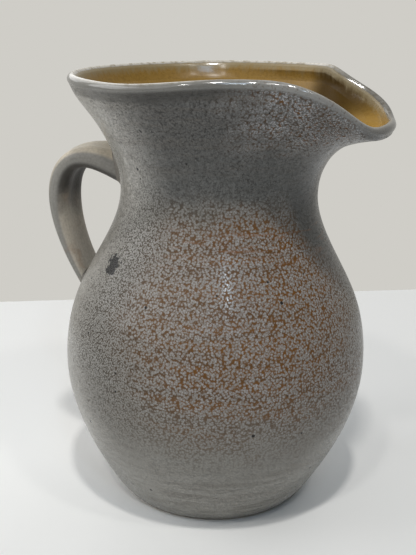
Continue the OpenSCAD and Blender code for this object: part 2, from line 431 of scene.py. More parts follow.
def throwing_tree():
    """Turns a half section round the axis and pulls the soft rim into a spout."""
    tree, bench, given, result = new_tree(
        "throw_and_pull",
        "GeometryNodeTree",
        [
            ("Section", SHAPE, None),
            ("Columns", COUNT, BODY_COLUMNS),
            ("Rows", COUNT, 300),
            ("Spout reach", FLOAT, SPOUT_REACH * MM),
            ("Spout drop", FLOAT, SPOUT_DROP * MM),
            ("Left end", FLOAT, SPOUT_LEFT),
            ("Right end", FLOAT, SPOUT_RIGHT),
            ("Left fade", FLOAT, FADE_LEFT),
            ("Right fade", FLOAT, FADE_RIGHT),
            ("Drop from", FLOAT, DROP_FROM),
            ("Left drop past", FLOAT, DROP_PAST_LEFT),
            ("Right drop past", FLOAT, DROP_PAST_RIGHT),
            ("Throat pinch", FLOAT, THROAT_PINCH * MM),
            ("Throat rise", FLOAT, THROAT_RISE * MM),
            ("Ring depth", FLOAT, RING_DEPTH * MM),
            ("Ring pitch", FLOAT, RING_PITCH * MM),
            ("Finish", FINISH, None),
        ],
        [("Piece", SHAPE)],
    )
    add, sub, mul, rest = bench.add, bench.sub, bench.mul, bench.rest
    rise, noise = bench.rise, bench.noise
    grid, u, v = swept_grid(bench, add(given["Columns"], 1.0), given["Rows"])
    row = bench.math("ROUND", mul(v, sub(given["Rows"], 1.0)))
    place = bench.split(sampled(bench, given["Section"], "position", "FLOAT_VECTOR", row))
    values = {name: sampled(bench, given["Section"], name, "FLOAT", row) for name in SECTION_VALUES}
    share = values["share"]
    angle = sub(mul(u, 360.0), 180.0)

    def pull(angle):
        """How far the rim is drawn out and up at an angle from the spout."""
        off_middle = bench.math("ABSOLUTE", angle)
        left = bench.math("GREATER_THAN", angle, 0.0)

        def side(name):
            right_value = given["Right " + name]
            return add(right_value, mul(left, sub(given["Left " + name], right_value)))

        end = side("end")
        drop_end = add(end, side("drop past"))
        throat = rest(rise(THROAT_FROM, THROAT_TO, off_middle))
        left_rise = rest(rise(LEFT_RISE_FROM, LEFT_RISE_TO, off_middle))
        rise_fade = add(throat, mul(left, sub(left_rise, throat)))
        out_fade = rest(rise(sub(end, side("fade")), end, off_middle))
        up_fade = rest(rise(given["Drop from"], drop_end, off_middle))
        out = sub(mul(given["Spout reach"], out_fade), mul(given["Throat pinch"], throat))
        up = sub(mul(given["Throat rise"], rise_fade), mul(given["Spout drop"], up_fade))
        return out, up

    # The pull is averaged over a few degrees, so that its borders are as soft as clay
    pulls = [pull(add(angle, shift)) for shift in SOFT_PULL]
    out = up = 0.0
    for one_out, one_up in pulls:
        out = add(out, mul(one_out, 1 / len(pulls)))
        up = add(up, mul(one_up, 1 / len(pulls)))
    out = mul(out, bench.math("POWER", share, OUT_POWER))
    up = mul(up, bench.math("POWER", share, UP_POWER))
    turn = mul(angle, math.pi / 180)
    cosine = bench.math("COSINE", turn)
    sine = bench.math("SINE", turn)
    # Throwing rings climb in one spiral and only cut inwards, deeper low down on the pot
    climb = add(place[2], mul(angle, 1 / 360, given["Ring pitch"]))
    lane = bench.math("DIVIDE", climb, given["Ring pitch"])
    ring_spot = bench.join(mul(cosine, 0.35), mul(sine, 0.35), lane)
    ring = noise(ring_spot, 1.0, 1.0, 0.4)
    low_down = rest(mul(rise(38.0, 70.0, values["turned"]), 0.55))
    cut = mul(ring, low_down, values["outside"], given["Ring depth"])
    radius = sub(add(place[0], out), cut)
    spot = bench.join(mul(radius, cosine), mul(radius, sine), add(place[2], up))
    shape = grid
    for name, value in values.items():
        shape = kept(bench, shape, name, value)
    shape = bench.put("GeometryNodeSetPosition", {"Geometry": shape, "Position": spot}).outputs[0]
    bench.feed(result["Piece"], closed_and_finished(bench, shape, given["Finish"]))
    return tree


# Values that the strap's section carries for each of its points, and the corners of its line
STRAP_VALUES = ("across", "deep", "start", "end", "mean_start", "mean_end")
LINE_CORNERS = ("Root", "Arch", "Fall", "Foot")


def strap_tree():
    """Draws the strap's section along the handle's middle line, between ends given for each point."""
    tree, bench, given, result = new_tree(
        "pull_strap",
        "GeometryNodeTree",
        [
            ("Section", SHAPE, None),
            ("Points", COUNT, STRAP_POINTS),
            ("Rows", COUNT, STRAP_ROWS),
            *((corner, PLACE, None) for corner in LINE_CORNERS),
            ("Half width", FLOAT, STRAP_W / 2 * MM),
            ("Half thickness", FLOAT, STRAP_T / 2 * MM),
            ("Finish", FINISH, None),
        ],
        [("Piece", SHAPE)],
    )
    add, sub, mul, rest, rise = bench.add, bench.sub, bench.mul, bench.rest, bench.rise
    grid, u, v = swept_grid(bench, add(given["Points"], 1.0), given["Rows"])
    index = bench.math("ROUND", mul(u, given["Points"]))
    index = bench.math("FLOORED_MODULO", index, given["Points"])
    across, deep, start, end, mean_start, mean_end = (
        sampled(bench, given["Section"], name, "FLOAT", index) for name in STRAP_VALUES
    )
    # The first and last rows gather into the middle of each hidden end
    last = sub(given["Rows"], 1.0)
    row = bench.math("ROUND", mul(v, last))
    inner = bench.span(1.0, sub(last, 1.0), 0.0, 1.0, row)
    past_first = bench.math("GREATER_THAN", row, 0.5)
    open_row = mul(past_first, bench.math("LESS_THAN", row, sub(last, 0.5)))
    low = bench.math("LESS_THAN", v, 0.5)
    run = add(start, mul(inner, sub(end, start)))
    end_t = add(mul(low, mean_start), mul(rest(low), mean_end))
    t = add(mul(open_row, run), mul(rest(open_row), end_t))
    s = rest(t)
    t_square = mul(t, t)
    s_square = mul(s, s)
    weights = (mul(s_square, s), mul(s_square, t, 3.0), mul(t_square, s, 3.0), mul(t_square, t))
    spot = None
    for weight, name in zip(weights, LINE_CORNERS):
        piece = bench.scaled(given[name], weight)
        spot = piece if spot is None else bench.vector("ADD", spot, piece)
    way = None
    weights = (s_square, mul(s, t, 2.0), t_square)
    for weight, corner, following in zip(weights, LINE_CORNERS, LINE_CORNERS[1:]):
        piece = bench.scaled(bench.vector("SUBTRACT", given[following], given[corner]), weight)
        way = piece if way is None else bench.vector("ADD", way, piece)
    way = bench.split(bench.vector("NORMALIZE", way))
    wide = add(1.0, mul(rest(rise(0.0, ROOT_WIDER_TO, t)), ROOT_WIDER))
    wide = sub(wide, mul(rise(FOOT_NARROWER_FROM, 1.0, t), FOOT_NARROWER))
    thick = add(1.0, mul(rest(rise(0.0, ROOT_THICKER_TO, t)), ROOT_THICKER))
    thick = sub(thick, mul(rise(FOOT_THINNER_FROM, FOOT_THINNER_TO, t), FOOT_THINNER))
    side = mul(across, given["Half width"], wide, open_row)
    lift = mul(deep, given["Half thickness"], thick, open_row)
    offset = bench.join(mul(way[2], lift, -1.0), side, mul(way[0], lift))
    shape = grid
    for name, value in (("along", t), ("across", across), ("deep", deep)):
        shape = kept(bench, shape, name, value)
    spot = bench.vector("ADD", spot, offset)
    shape = bench.put("GeometryNodeSetPosition", {"Geometry": shape, "Position": spot}).outputs[0]
    bench.feed(result["Piece"], closed_and_finished(bench, shape, given["Finish"]))
    return tree


def point_mesh(name, points, values):
    """A mesh of loose points in metres with named values, for a tree to read."""
    mesh = bpy.data.meshes.new(name)
    mesh.from_pydata([tuple(p) for p in points], [], [])
    for label, numbers in values.items():
        attribute = mesh.attributes.new(label, "FLOAT", "POINT")
        attribute.data.foreach_set("value", np.asarray(numbers, np.float32))
    return mesh


def placed(name, data):
    """A new object with this data, in the scene."""
    thing = bpy.data.objects.new(name, data)
    bpy.context.scene.collection.objects.link(thing)
    return thing


def grown(name, mesh, tree, settings):
    """Runs a tree on a point mesh and keeps the result as a plain mesh piece at the origin."""
    source = placed(name + "_source", mesh)
    modifier = source.modifiers.new("shape", "NODES")
    modifier.node_group = tree
    for item in tree.interface.items_tree:
        if item.item_type == "SOCKET" and item.in_out == "INPUT" and item.name in settings:
            modifier[item.identifier] = settings[item.name]
    bpy.context.view_layer.update()
    shown = source.evaluated_get(bpy.context.evaluated_depsgraph_get())
    plain = bpy.data.meshes.new_from_object(shown)
    plain.name = name
    source.modifiers.remove(modifier)
    bpy.data.objects.remove(source)
    return placed(name, plain)


def face_outwards(piece):
    """Turns the faces round where the mesh came out inside out."""
    mesh = piece.data
    mesh.calc_loop_triangles()
    volume = 0.0
    for tri in mesh.loop_triangles:
        a, b, c = (mesh.vertices[i].co for i in tri.vertices)
        volume += a.dot(b.cross(c))
    if volume < 0:
        mesh.flip_normals()
    return piece


# Colours are written as they look on screen, from 0 to 255
def shade(red, green, blue):
    def linear(value):
        value /= 255
        return value / 12.92 if value <= 0.04045 else ((value + 0.055) / 1.055) ** 2.4

    return (linear(red), linear(green), linear(blue), 1.0)


# Handle's middle line, a cubic curve in the XZ plane from inside the neck's wall to inside the belly's
HANDLE_LINE = np.array([
    [-(NECK_R - ROOT_SINK), 0, HANDLE_TOP_Z - ROOT_DROP],
    [-(NECK_R + HANDLE_REACH), 0, HANDLE_TOP_Z + ARCH_RISE],
    [-(BELLY_R + 0.37 * HANDLE_REACH), 0, HANDLE_FOOT_Z + ARCH_FALL],
    [-(BELLY_R - FOOT_SINK), 0, HANDLE_FOOT_Z],
])
STRAP_POINTS = 72
STRAP_ROWS = 130
SEAT_DEPTH = 1.0

# Shares of the middle line outside and inside the pot, at the root and at the foot
ROOT_SPAN = (0.3, -0.05)
FOOT_SPAN = (0.7, 1.05)

# Rows of each joint's fillet, and how deep its edge on the pot and its hidden corner are sunk
FILLET_ROWS = 9
EDGE_SUNK = 0.12
CORNER_SUNK = 1.2


def strap_points(t, across, deep):
    """Points on the strap's face, in millimetres."""
    t = np.asarray(t, float)
    s = 1 - t
    weights = np.column_stack([s**3, 3 * t * s**2, 3 * t**2 * s, t**3])
    ways = np.column_stack([s**2, 2 * s * t, t**2]) @ np.diff(HANDLE_LINE, axis=0)
    ways /= np.linalg.norm(ways, axis=1)[:, None]
    wide = 1 + ROOT_WIDER * (1 - ramp(0, ROOT_WIDER_TO, t))
    wide = STRAP_W / 2 * (wide - FOOT_NARROWER * ramp(FOOT_NARROWER_FROM, 1, t))
    thick = 1 + ROOT_THICKER * (1 - ramp(0, ROOT_THICKER_TO, t))
    thick = STRAP_T / 2 * (thick - FOOT_THINNER * ramp(FOOT_THINNER_FROM, FOOT_THINNER_TO, t))
    spot = weights @ HANDLE_LINE
    lift = deep * thick
    return spot + np.column_stack([-ways[:, 2] * lift, across * wide, ways[:, 0] * lift])


def strap_section():
    """Section of the strap: a soft oblong with a thumb groove inside and a faint ridge outside."""
    angle = np.radians(np.arange(STRAP_POINTS) * 360 / STRAP_POINTS)
    across = np.sign(np.cos(angle)) * np.abs(np.cos(angle)) ** 0.8
    deep = np.sign(np.sin(angle)) * np.abs(np.sin(angle)) ** 0.8
    inner_groove = 0.24 * np.exp(-((across / 0.38) ** 2))
    outer_groove = 0.09 * np.exp(-(((np.abs(across) - 0.42) / 0.2) ** 2))
    deep = deep * np.where(deep > 0, 1 - inner_groove, 1 - outer_groove)
    return across, deep


def depth_in_pot(points):
    return outer_profile(points[:, 2])[0] - np.hypot(points[:, 0], points[:, 1])


def seat(across, deep, span, depth):
    """Share of the middle line at which each run of the strap lies at a depth in the pot, by halving."""
    outside = np.full(len(across), span[0])
    inside = np.full(len(across), span[1])
    for _ in range(40):
        middle = (outside + inside) / 2
        sunk = depth_in_pot(strap_points(middle, across, deep)) > depth
        inside = np.where(sunk, middle, inside)
        outside = np.where(sunk, outside, middle)
    return (outside + inside) / 2


def luted_joint(name, across, deep, span, along_strap, along_pot, finish):
    """Wiped clay fillet where the strap meets the pot: a closed ring, its hidden corner in the clay."""
    touch_t = seat(across, deep, span, 0.0)
    step = math.copysign(0.01, span[0] - span[1])
    touch = strap_points(touch_t, across, deep)
    ahead = strap_points(touch_t + step, across, deep)
    reach = along_strap / np.linalg.norm(ahead - touch, axis=1)
    upper = strap_points(touch_t + step * reach, across * 0.995, deep * 0.985)
    slope = outer_profile(touch[:, 2])[1]
    flat = np.hypot(touch[:, 0], touch[:, 1])
    normal = np.column_stack([touch[:, 0] / flat, touch[:, 1] / flat, -slope])
    normal /= np.linalg.norm(normal, axis=1)[:, None]
    way = touch - touch.mean(0)
    way -= (way * normal).sum(1)[:, None] * normal
    way /= np.linalg.norm(way, axis=1)[:, None]
    # The spread over the pot is a little uneven, as a thumb leaves it
    turn = np.arange(len(across)) * 2 * np.pi / len(across)
    spread = along_pot * (1 + 0.16 * np.sin(3 * turn + 0.7) + 0.1 * np.sin(5 * turn + 2.1))
    lower = touch + way * spread[:, None]
    lower_r = outer_profile(lower[:, 2])[0] - EDGE_SUNK
    lower[:, :2] *= (lower_r / np.hypot(lower[:, 0], lower[:, 1]))[:, None]
    hidden = touch - normal * CORNER_SUNK - way * CORNER_SUNK
    rows = [bend(upper, touch, lower, t) for t in np.linspace(0, 1, FILLET_ROWS)]
    rows.append(hidden)
    count = len(across)
    points = np.vstack(rows) * MM
    faces = []
    for row in range(len(rows)):
        here = row * count
        there = (row + 1) % len(rows) * count
        for i in range(count):
            beside = (i + 1) % count
            faces.append((here + i, here + beside, there + beside, there + i))
    mesh = bpy.data.meshes.new(name)
    mesh.from_pydata([tuple(p) for p in points], [], faces)
    mesh.materials.append(finish)
    for polygon in mesh.polygons:
        polygon.use_smooth = True
    return face_outwards(placed(name, mesh))


# Shader groups for the effects that are used more than once
def peel_group():
    """Orange peel of salt glaze: evenly spaced round beads, sinking softly into their gaps."""
    tree, bench, given, result = new_tree(
        "orange_peel",
        "ShaderNodeTree",
        [
            ("Place", PLACE, None),
            ("Beads per metre", FLOAT, 700.0),
            ("Gap share", FLOAT, 0.5),
            ("Fine", FLOAT, 0.0),
        ],
        [("Bead", FLOAT), ("Height", FLOAT)],
    )
    add, sub, mul, rest = bench.add, bench.sub, bench.mul, bench.rest
    rise, noise = bench.rise, bench.noise
    coarse = bench.cells(given["Place"], given["Beads per metre"], 0.9)[0]
    small = bench.cells(given["Place"], mul(given["Beads per metre"], 1.45), 0.9)[0]
    far = add(coarse, mul(given["Fine"], sub(small, coarse)))
    # Small waves keep the beads from being perfect rounds
    wave = noise(given["Place"], mul(given["Beads per metre"], 2.6), 1.0, 0.5)
    far = add(far, mul(sub(wave, 0.5), 0.5))
    middle = bench.math("SUBTRACT", 1.04, given["Gap share"])
    bead = rest(rise(sub(middle, 0.2), add(middle, 0.2), far))
    bench.feed(result["Bead"], bead)
    bench.feed(result["Height"], bench.math("SQRT", bead))
    return tree


def speck_group():
    """Scattered iron specks: a mask of small dots, some cells left empty."""
    tree, bench, given, result = new_tree(
        "iron_specks",
        "ShaderNodeTree",
        [
            ("Place", PLACE, None),
            ("Cells per metre", FLOAT, 110.0),
            ("Filled share", FLOAT, 0.4),
            ("Largest", FLOAT, 0.07),
        ],
        [("Mask", FLOAT)],
    )
    add, sub, mul, rest = bench.add, bench.sub, bench.mul, bench.rest
    rise, noise = bench.rise, bench.noise
    found = bench.cells(given["Place"], given["Cells per metre"])
    random = bench.put("ShaderNodeSeparateColor", {0: found[1]}).outputs
    there = bench.math("LESS_THAN", random[0], given["Filled share"])
    size = mul(given["Largest"], add(0.35, mul(random[1], mul(random[1], 0.65))))
    ragged = add(found[0], mul(sub(noise(given["Place"], 2200.0, 1.0), 0.5), 0.03))
    dot = rest(rise(mul(size, 0.65), size, ragged))
    bench.feed(result["Mask"], mul(dot, there))
    return tree


def streak_group():
    """Level bands that follow the throwing rings."""
    tree, bench, given, result = new_tree(
        "throwing_bands",
        "ShaderNodeTree",
        [("Place", PLACE, None), ("Bands per metre", FLOAT, 160.0)],
        [("Band", FLOAT)],
    )
    stretch = bench.vector("MULTIPLY", given["Place"], (0.09, 0.09, 1.0))
    bench.feed(result["Band"], bench.noise(stretch, given["Bands per metre"], 3.0, 0.55))
    return tree


def amber_group():
    """Amber glass: thinning to grey-brown runs just below the crest, golden in the spout."""
    tree, bench, given, result = new_tree(
        "amber_glass",
        "ShaderNodeTree",
        [("Place", PLACE, None), ("Below", FLOAT, 20.0), ("Spout", FLOAT, 0.0), ("Fold", FLOAT, 0.0)],
        [("Colour", COLOUR), ("Runs", FLOAT), ("Mottle", FLOAT)],
    )
    add, sub, mul, rest = bench.add, bench.sub, bench.mul, bench.rest
    rise, tint, over, noise = bench.rise, bench.tint, bench.over, bench.noise
    patch = noise(given["Place"], 48.0, 3.0, 0.6)
    runs = noise(bench.vector("MULTIPLY", given["Place"], (1.0, 1.0, 0.1)), 420.0, 3.0, 0.6)
    mottle = noise(given["Place"], 700.0, 3.0, 0.6)
    amber = tint(patch, shade(132, 103, 48), shade(150, 119, 60))
    amber = over(amber, (94, 66, 16), rise(0.4, 0.7, mottle), 0.3)
    amber = over(amber, (168, 130, 58), given["Spout"], 0.8)
    # The glaze pools darker in the folds beside the spout, and the darkening there is partly painted
    # shade in the spout's throat
    amber = over(amber, (52, 38, 17), given["Fold"], 0.85)
    thin = rest(rise(3.0, 9.5, add(given["Below"], mul(sub(runs, 0.5), 11.0))))
    thin = mul(thin, rest(mul(given["Spout"], 0.7)))
    pale = tint(mottle, shade(124, 110, 78), shade(158, 147, 120))
    bench.feed(result["Colour"], tint(mul(thin, 0.75), amber, pale))
    bench.feed(result["Runs"], runs)
    bench.feed(result["Mottle"], mottle)
    return tree


class Finish:
    """A material with its bench, its Principled shader and the piece's own coordinates."""

    def __init__(self, name, **shader):
        self.material = bpy.data.materials.new(name)
        self.material.use_nodes = True
        tree = self.material.node_tree
        self.bench = Bench(tree)
        self.shader = next(n for n in tree.nodes if n.type == "BSDF_PRINCIPLED")
        for socket, value in shader.items():
            self.shader.inputs[socket.replace("_", " ")].default_value = value
        self.place = self.bench.put("ShaderNodeTexCoord").outputs["Object"]
        self.x, self.y, self.z = self.bench.split(self.place)

    def value(self, name):
        """A value stored on the piece's points."""
        node = self.bench.put("ShaderNodeAttribute", attribute_type="GEOMETRY", attribute_name=name)
        return node.outputs["Fac"]

    def group(self, tree, **inputs):
        node = self.bench.put("ShaderNodeGroup", node_tree=tree)
        self.bench.feed(node.inputs["Place"], self.place)
        for name, value in inputs.items():
            self.bench.feed(node.inputs[name.replace("_", " ")], value)
        return node.outputs

    def noise(self, scale, detail=2.0, roughness=0.5):
        return self.bench.noise(self.place, scale, detail, roughness)

    def facing(self, azimuth):
        """Cosine of the angle between a point's side of the pot and an azimuth in degrees."""
        bench = self.bench
        turn = math.radians(azimuth)
        far = bench.math("SQRT", bench.add(bench.mul(self.x, self.x), bench.mul(self.y, self.y)))
        dot = bench.add(bench.mul(self.x, math.cos(turn)), bench.mul(self.y, math.sin(turn)))
        return bench.math("DIVIDE", dot, bench.larger(far, 0.001))

    def side(self, azimuth, low, high):
        """Mask of one side of the pot, rising between two cosines of the angle away from an azimuth."""
        return self.bench.rise(low, high, self.facing(azimuth))

    def amber(self):
        """The amber, on the liner and where it runs out over the rim, with masks of spout and folds."""
        bench = self.bench
        share = self.value("share")
        spout = bench.mul(bench.rise(0.35, 0.95, share), self.side(GOLDEN_SIDE, 0.8, 0.98))
        folds = bench.larger(self.side(LEFT_FOLD, 0.94, 0.996), self.side(RIGHT_FOLD, 0.92, 0.99))
        folds = bench.mul(folds, bench.rise(0.1, 0.6, share))
        return self.group(AMBER, Below=self.value("below"), Spout=spout, Fold=folds), spout, folds

    def smooth_run(self):
        """Masks of one thick run of the amber glass: where it is glossy, and the calm wall round it."""
        high = self.bench.rise(0.2164, 0.2182, self.z)
        glossy = self.bench.mul(self.side(GLOSSY_SIDE, 0.986, 0.998), high)
        return glossy, self.side(GLOSSY_SIDE, 0.94, 0.984)

    def near(self, spot, ragged, radius, soft):
        """Mask of an uneven blot round a spot, all in metres."""
        bench = self.bench
        gap = bench.put("ShaderNodeVectorMath", {0: self.place, 1: spot}, operation="DISTANCE")
        wave = bench.mul(bench.sub(self.noise(420.0), 0.5), ragged)
        return bench.rest(bench.rise(radius - soft, radius, bench.add(gap.outputs["Value"], wave)))

    def set(self, socket, value):
        self.bench.feed(self.shader.inputs[socket], value)

    def bump(self, height, strength):
        inputs = {"Height": height, "Strength": strength, "Distance": BUMP_DEPTH}
        self.set("Normal", self.bench.put("ShaderNodeBump", inputs).outputs[0])


PEEL = peel_group()
SPECKS = speck_group()
BANDS = streak_group()
AMBER = amber_group()

# Sides of the pot, as azimuths in degrees round from the spout.
# Where the kiln flame flashed the belly and the flare, browned the belly, and reached round behind
FLASHED_SIDE = -50.0
RIM_SIDE = -40.0
BROWNED_SIDE = -92.0
SECOND_SIDE = 118.0
# Where the glaze is palest with painted light on that edge, where the painted shade in the groove under
# the rim is darkest, and where the crest's pale line is dullest
PALE_AND_LIT_SIDE = -155.0
GROOVE_SHADE_SIDE = -145.0
DULL_CREST_SIDE = -62.0
DULL_SPOUT_SIDE = 14.0
# Where the spout shelters the shoulder and its shadow is painted there, and where fingers wiped its tip
SPOUT_SHADE_SIDE = 18.0
WIPED_SIDE = 8.0
# Where the amber is golden in the spout, pools in the folds beside it with painted shade, and has a
# glossy run
GOLDEN_SIDE = -8.0
LEFT_FOLD = 41.0
RIGHT_FOLD = -58.0
GLOSSY_SIDE = 115.0

# Number of the peel's beads along a metre, on the body and on the strap
BODY_BEADS = 830.0
STRAP_BEADS = 720.0

# Depth of the bumps, and the iron spot's place, all in metres
BUMP_DEPTH = 0.0003
IRON_SPOT = (-0.0383, -0.0487, 0.1338)


def stoneware_finish():
    """Salt glaze on the body: grey beads, rust in their gaps, plain neck, glossy rim, bare foot."""
    finish = Finish("salt_glaze_on_body", IOR=1.5)
    bench = finish.bench
    add, sub, mul, rest = bench.add, bench.sub, bench.mul, bench.rest
    rise, tint, over, larger = bench.rise, bench.tint, bench.over, bench.larger
    turned, lip, crest, inner = (finish.value(name) for name in ("turned", "lip", "crest", "inner"))
    broad = finish.noise(17.0)
    patch = finish.noise(62.0, 3.0, 0.6)
    band = finish.group(BANDS)["Band"]
    specks = finish.group(SPECKS, Cells_per_metre=150.0, Filled_share=0.35, Largest=0.17)["Mask"]
    clouds = finish.noise(95.0, 2.0, 0.6)
    drift = sub(broad, 0.5)
    uneven = sub(patch, 0.5)
    level = add(turned, mul(sub(band, 0.5), 16.0))
    rough_level = add(level, mul(uneven, 22.0))
    # Where the flame side lies, with soft and uneven borders
    front = rise(0.35, 0.99, add(finish.facing(FLASHED_SIDE), mul(drift, 0.5)))
    brown = rise(0.5, 0.97, add(finish.facing(BROWNED_SIDE), mul(drift, 0.5)))
    behind = rise(0.35, 1.0, add(finish.facing(SECOND_SIDE), mul(drift, 1.1)))
    flame = larger(front, mul(behind, 0.7))
    # The peel ends lower on the spout's side, under its overhang, and the same shift carries the neck's
    # dark tone down there as painted shade
    spout_shade_shift = mul(finish.side(SPOUT_SHADE_SIDE, 0.6, 0.95), 30.0)
    upper_level = add(rough_level, spout_shade_shift)
    belly = mul(rise(36.0, 92.0, rough_level), rest(rise(150.0, 174.0, upper_level)))
    flashed_rim = rise(0.82, 1.0, add(finish.facing(RIM_SIDE), mul(uneven, 0.35)))
    under_rim = mul(rise(186.0, 208.0, rough_level), rest(lip))
    under_rim = mul(under_rim, larger(flashed_rim, mul(behind, 0.5)))
    under_rim = mul(under_rim, add(0.6, mul(rise(0.3, 0.7, clouds), 0.4)))
    # Fingers wiped the glaze thinner round the spout's tip
    wiped = finish.side(WIPED_SIDE, 0.8, 0.95)
    under_rim = mul(under_rim, rest(mul(wiped, 0.85)))
    # The gaps between the beads close up above the neck, and vary from place to place below it
    gap_share = add(0.51, mul(uneven, 0.07))
    gap_share = sub(gap_share, mul(rise(166.0, 186.0, turned), 0.08))
    fine_side = rest(rise(0.1, 0.6, front))
    fine_side = larger(fine_side, mul(rise(160.0, 180.0, turned), 0.5))
    fine_side = mul(fine_side, rest(mul(rise(182.0, 198.0, turned), flashed_rim)))
    peel = finish.group(PEEL, Beads_per_metre=BODY_BEADS, Gap_share=gap_share, Fine=fine_side)
    strong = larger(flame, mul(brown, 0.85))
    contrast = mul(belly, add(0.24, mul(strong, 0.76)))
    contrast = larger(contrast, under_rim)
    rust = mul(flame, add(0.5, mul(rise(0.38, 0.6, band), 0.5)))
    rust = larger(rust, under_rim)
    # Ground colour by height, with fine lines from the wheel low down
    lines = finish.group(BANDS, Bands_per_metre=620.0)["Band"]
    ground = tint(rise(20.0, 84.0, rough_level), shade(138, 136, 130), shade(112, 109, 102))
    # Dark neck tone, reaching lower under the spout as painted shade
    ground = over(ground, (84, 84, 82), rise(146.0, 178.0, add(level, spout_shade_shift)))
    ground = over(ground, (80, 79, 77), rise(178.0, 206.0, rough_level))
    ground = over(ground, (58, 59, 60), wiped, rise(192.0, 208.0, turned), 0.6)
    # Paler ground on the left side: partly paler glaze, partly painted light for the sheen on that edge
    pale_and_lit_from = sub(0.72, mul(rise(130.0, 165.0, turned), 0.22))
    pale_and_lit_side = rise(pale_and_lit_from, 1.0, finish.facing(PALE_AND_LIT_SIDE))
    pale_and_lit_side = mul(pale_and_lit_side, rise(20.0, 60.0, turned))
    ground = over(ground, (168, 165, 158), pale_and_lit_side, 0.85)
    # Painted shadow of the spout: the ground is darkened on the shoulder under it
    thin = mul(rise(96.0, 126.0, turned), rest(rise(160.0, 185.0, turned)))
    ground = over(ground, (60, 60, 58), spout_shade_shift, thin, 0.013)
    ground = over(ground, (90, 82, 72), rise(0.45, 0.75, band), 0.24)
    wheel = mul(rest(rise(14.0, 60.0, turned)), rise(0.4, 0.7, lines))
    ground = over(ground, (92, 87, 80), wheel, 0.5)
    fine = mul(rise(172.0, 196.0, turned), rise(0.5, 0.75, lines))
    ground = over(ground, (84, 76, 66), fine, 0.3)
    grain = tint(peel["Bead"], (0.42, 0.41, 0.39, 1.0), (1.38, 1.38, 1.38, 1.0))
    calm_neck = mul(rise(144.0, 160.0, upper_level), rest(rise(186.0, 206.0, turned)))
    grained = add(0.35, mul(rise(40.0, 150.0, turned), 0.65))
    grained = mul(grained, rest(mul(lip, 0.8)))
    grained = mul(grained, rest(mul(calm_neck, 0.3)))
    ground = tint(grained, ground, grain, "MULTIPLY")
    mottle = tint(finish.noise(380.0, 3.0, 0.75), (0.4, 0.4, 0.39, 1.0), (1.6, 1.6, 1.61, 1.0))
    ground = tint(rise(140.0, 160.0, turned), ground, mottle, "MULTIPLY")
    # Painted highlight: a bright centre on each bead
    bead_highlight = rest(rise(0.1, 0.75, bench.cells(finish.place, 1300.0)[0]))
    bright = tint(flame, shade(142, 139, 133), shade(168, 168, 169))
    bead = tint(bead_highlight, shade(128, 126, 122), bright)
    bead = tint(under_rim, bead, tint(bead_highlight, shade(104, 104, 103), shade(188, 188, 190)))
    bead = tint(0.85, ground, bead)
    gap = tint(rust, shade(50, 41, 28), shade(97, 60, 4))
    # Under the rim only some of the gaps are rusty
    plain = rest(rise(0.44, 0.56, finish.noise(480.0, 1.0)))
    gap = over(gap, (82, 81, 78), under_rim, plain, 0.9)
    pattern = tint(peel["Bead"], gap, bead)
    colour = tint(contrast, ground, pattern)
    colour = over(colour, (116, 80, 44), belly, flame, 0.1)
    # Thin rust lines follow the wheel where the peel begins
    begins = mul(rise(134.0, 148.0, turned), rest(rise(150.0, 162.0, turned)))
    begins = mul(begins, front, rise(0.5, 0.7, lines))
    colour = over(colour, (122, 78, 42), begins, 0.6)
    # Glossy rim: the body's grey on its outside, with a thin pale line along its crest that is partly
    # pale glaze and partly a painted highlight
    rim_tone = tint(patch, shade(98, 97, 93), shade(124, 122, 116))
    flecks = rise(0.52, 0.68, finish.noise(760.0, 2.0, 0.6))
    flecks = mul(flecks, add(0.25, mul(flashed_rim, 0.4)))
    rim_tone = over(rim_tone, (150, 149, 146), flashed_rim, 0.6)
    rim_tone = over(rim_tone, (82, 68, 52), flecks)
    rim_tone = over(rim_tone, (64, 62, 57), wiped, 0.75)
    colour = tint(mul(lip, 0.8), colour, rim_tone)
    calm = rest(mul(finish.side(DULL_CREST_SIDE, 0.9, 0.99), 0.65))
    calm = mul(calm, rest(mul(finish.side(DULL_SPOUT_SIDE, 0.74, 0.94), 0.8)))
    rubbed = rise(0.42, 0.68, finish.noise(330.0, 2.0, 0.6))
    # Crest tone: pale glaze brightened into a painted highlight
    crest_pale_and_highlight = tint(rubbed, shade(228, 222, 210), shade(178, 165, 141))
    colour = tint(mul(crest, calm, 0.85), colour, crest_pale_and_highlight)
    # Painted shade darkens the shallow groove under the roll on one side
    groove_shade = mul(rise(214.0, 216.6, turned), rest(lip))
    groove_shade = mul(groove_shade, finish.side(GROOVE_SHADE_SIDE, -0.1, 0.6))
    colour = over(colour, (58, 56, 52), groove_shade, 0.6)
    # Inside the rim the liner's amber runs out over the clay in streaks
    amber, spout, _ = finish.amber()
    reach = add(inner, mul(crest, spout, 0.5))
    ambered = rise(0.3, 0.9, add(reach, mul(sub(amber["Runs"], 0.5), 0.8)))
    colour = tint(ambered, colour, amber["Colour"])
    spot = finish.near(IRON_SPOT, 0.009, 0.0054, 0.0009)
    dark = larger(mul(specks, rest(lip)), spot)
    colour = over(colour, (20, 18, 17), dark, rest(inner))
    bare = rest(rise(0.0003, 0.0014, finish.z))
    colour = tint(bare, colour, tint(band, shade(150, 136, 116), shade(168, 154, 134)))
    finish.set("Base Color", colour)
    rough = add(0.14, mul(patch, 0.1))
    between = mul(rest(peel["Bead"]), rest(mul(lip, 0.9)))
    rough = add(rough, mul(between, 0.2))
    rough = sub(rough, mul(lip, 0.08))
    rough = add(rough, mul(bare, 0.4))
    rough = add(rough, mul(ambered, sub(0.28, rough)))
    smooth_run, calm_wall = finish.smooth_run()
    rough = sub(rough, mul(ambered, smooth_run, 0.12))
    finish.set("Roughness", rough)
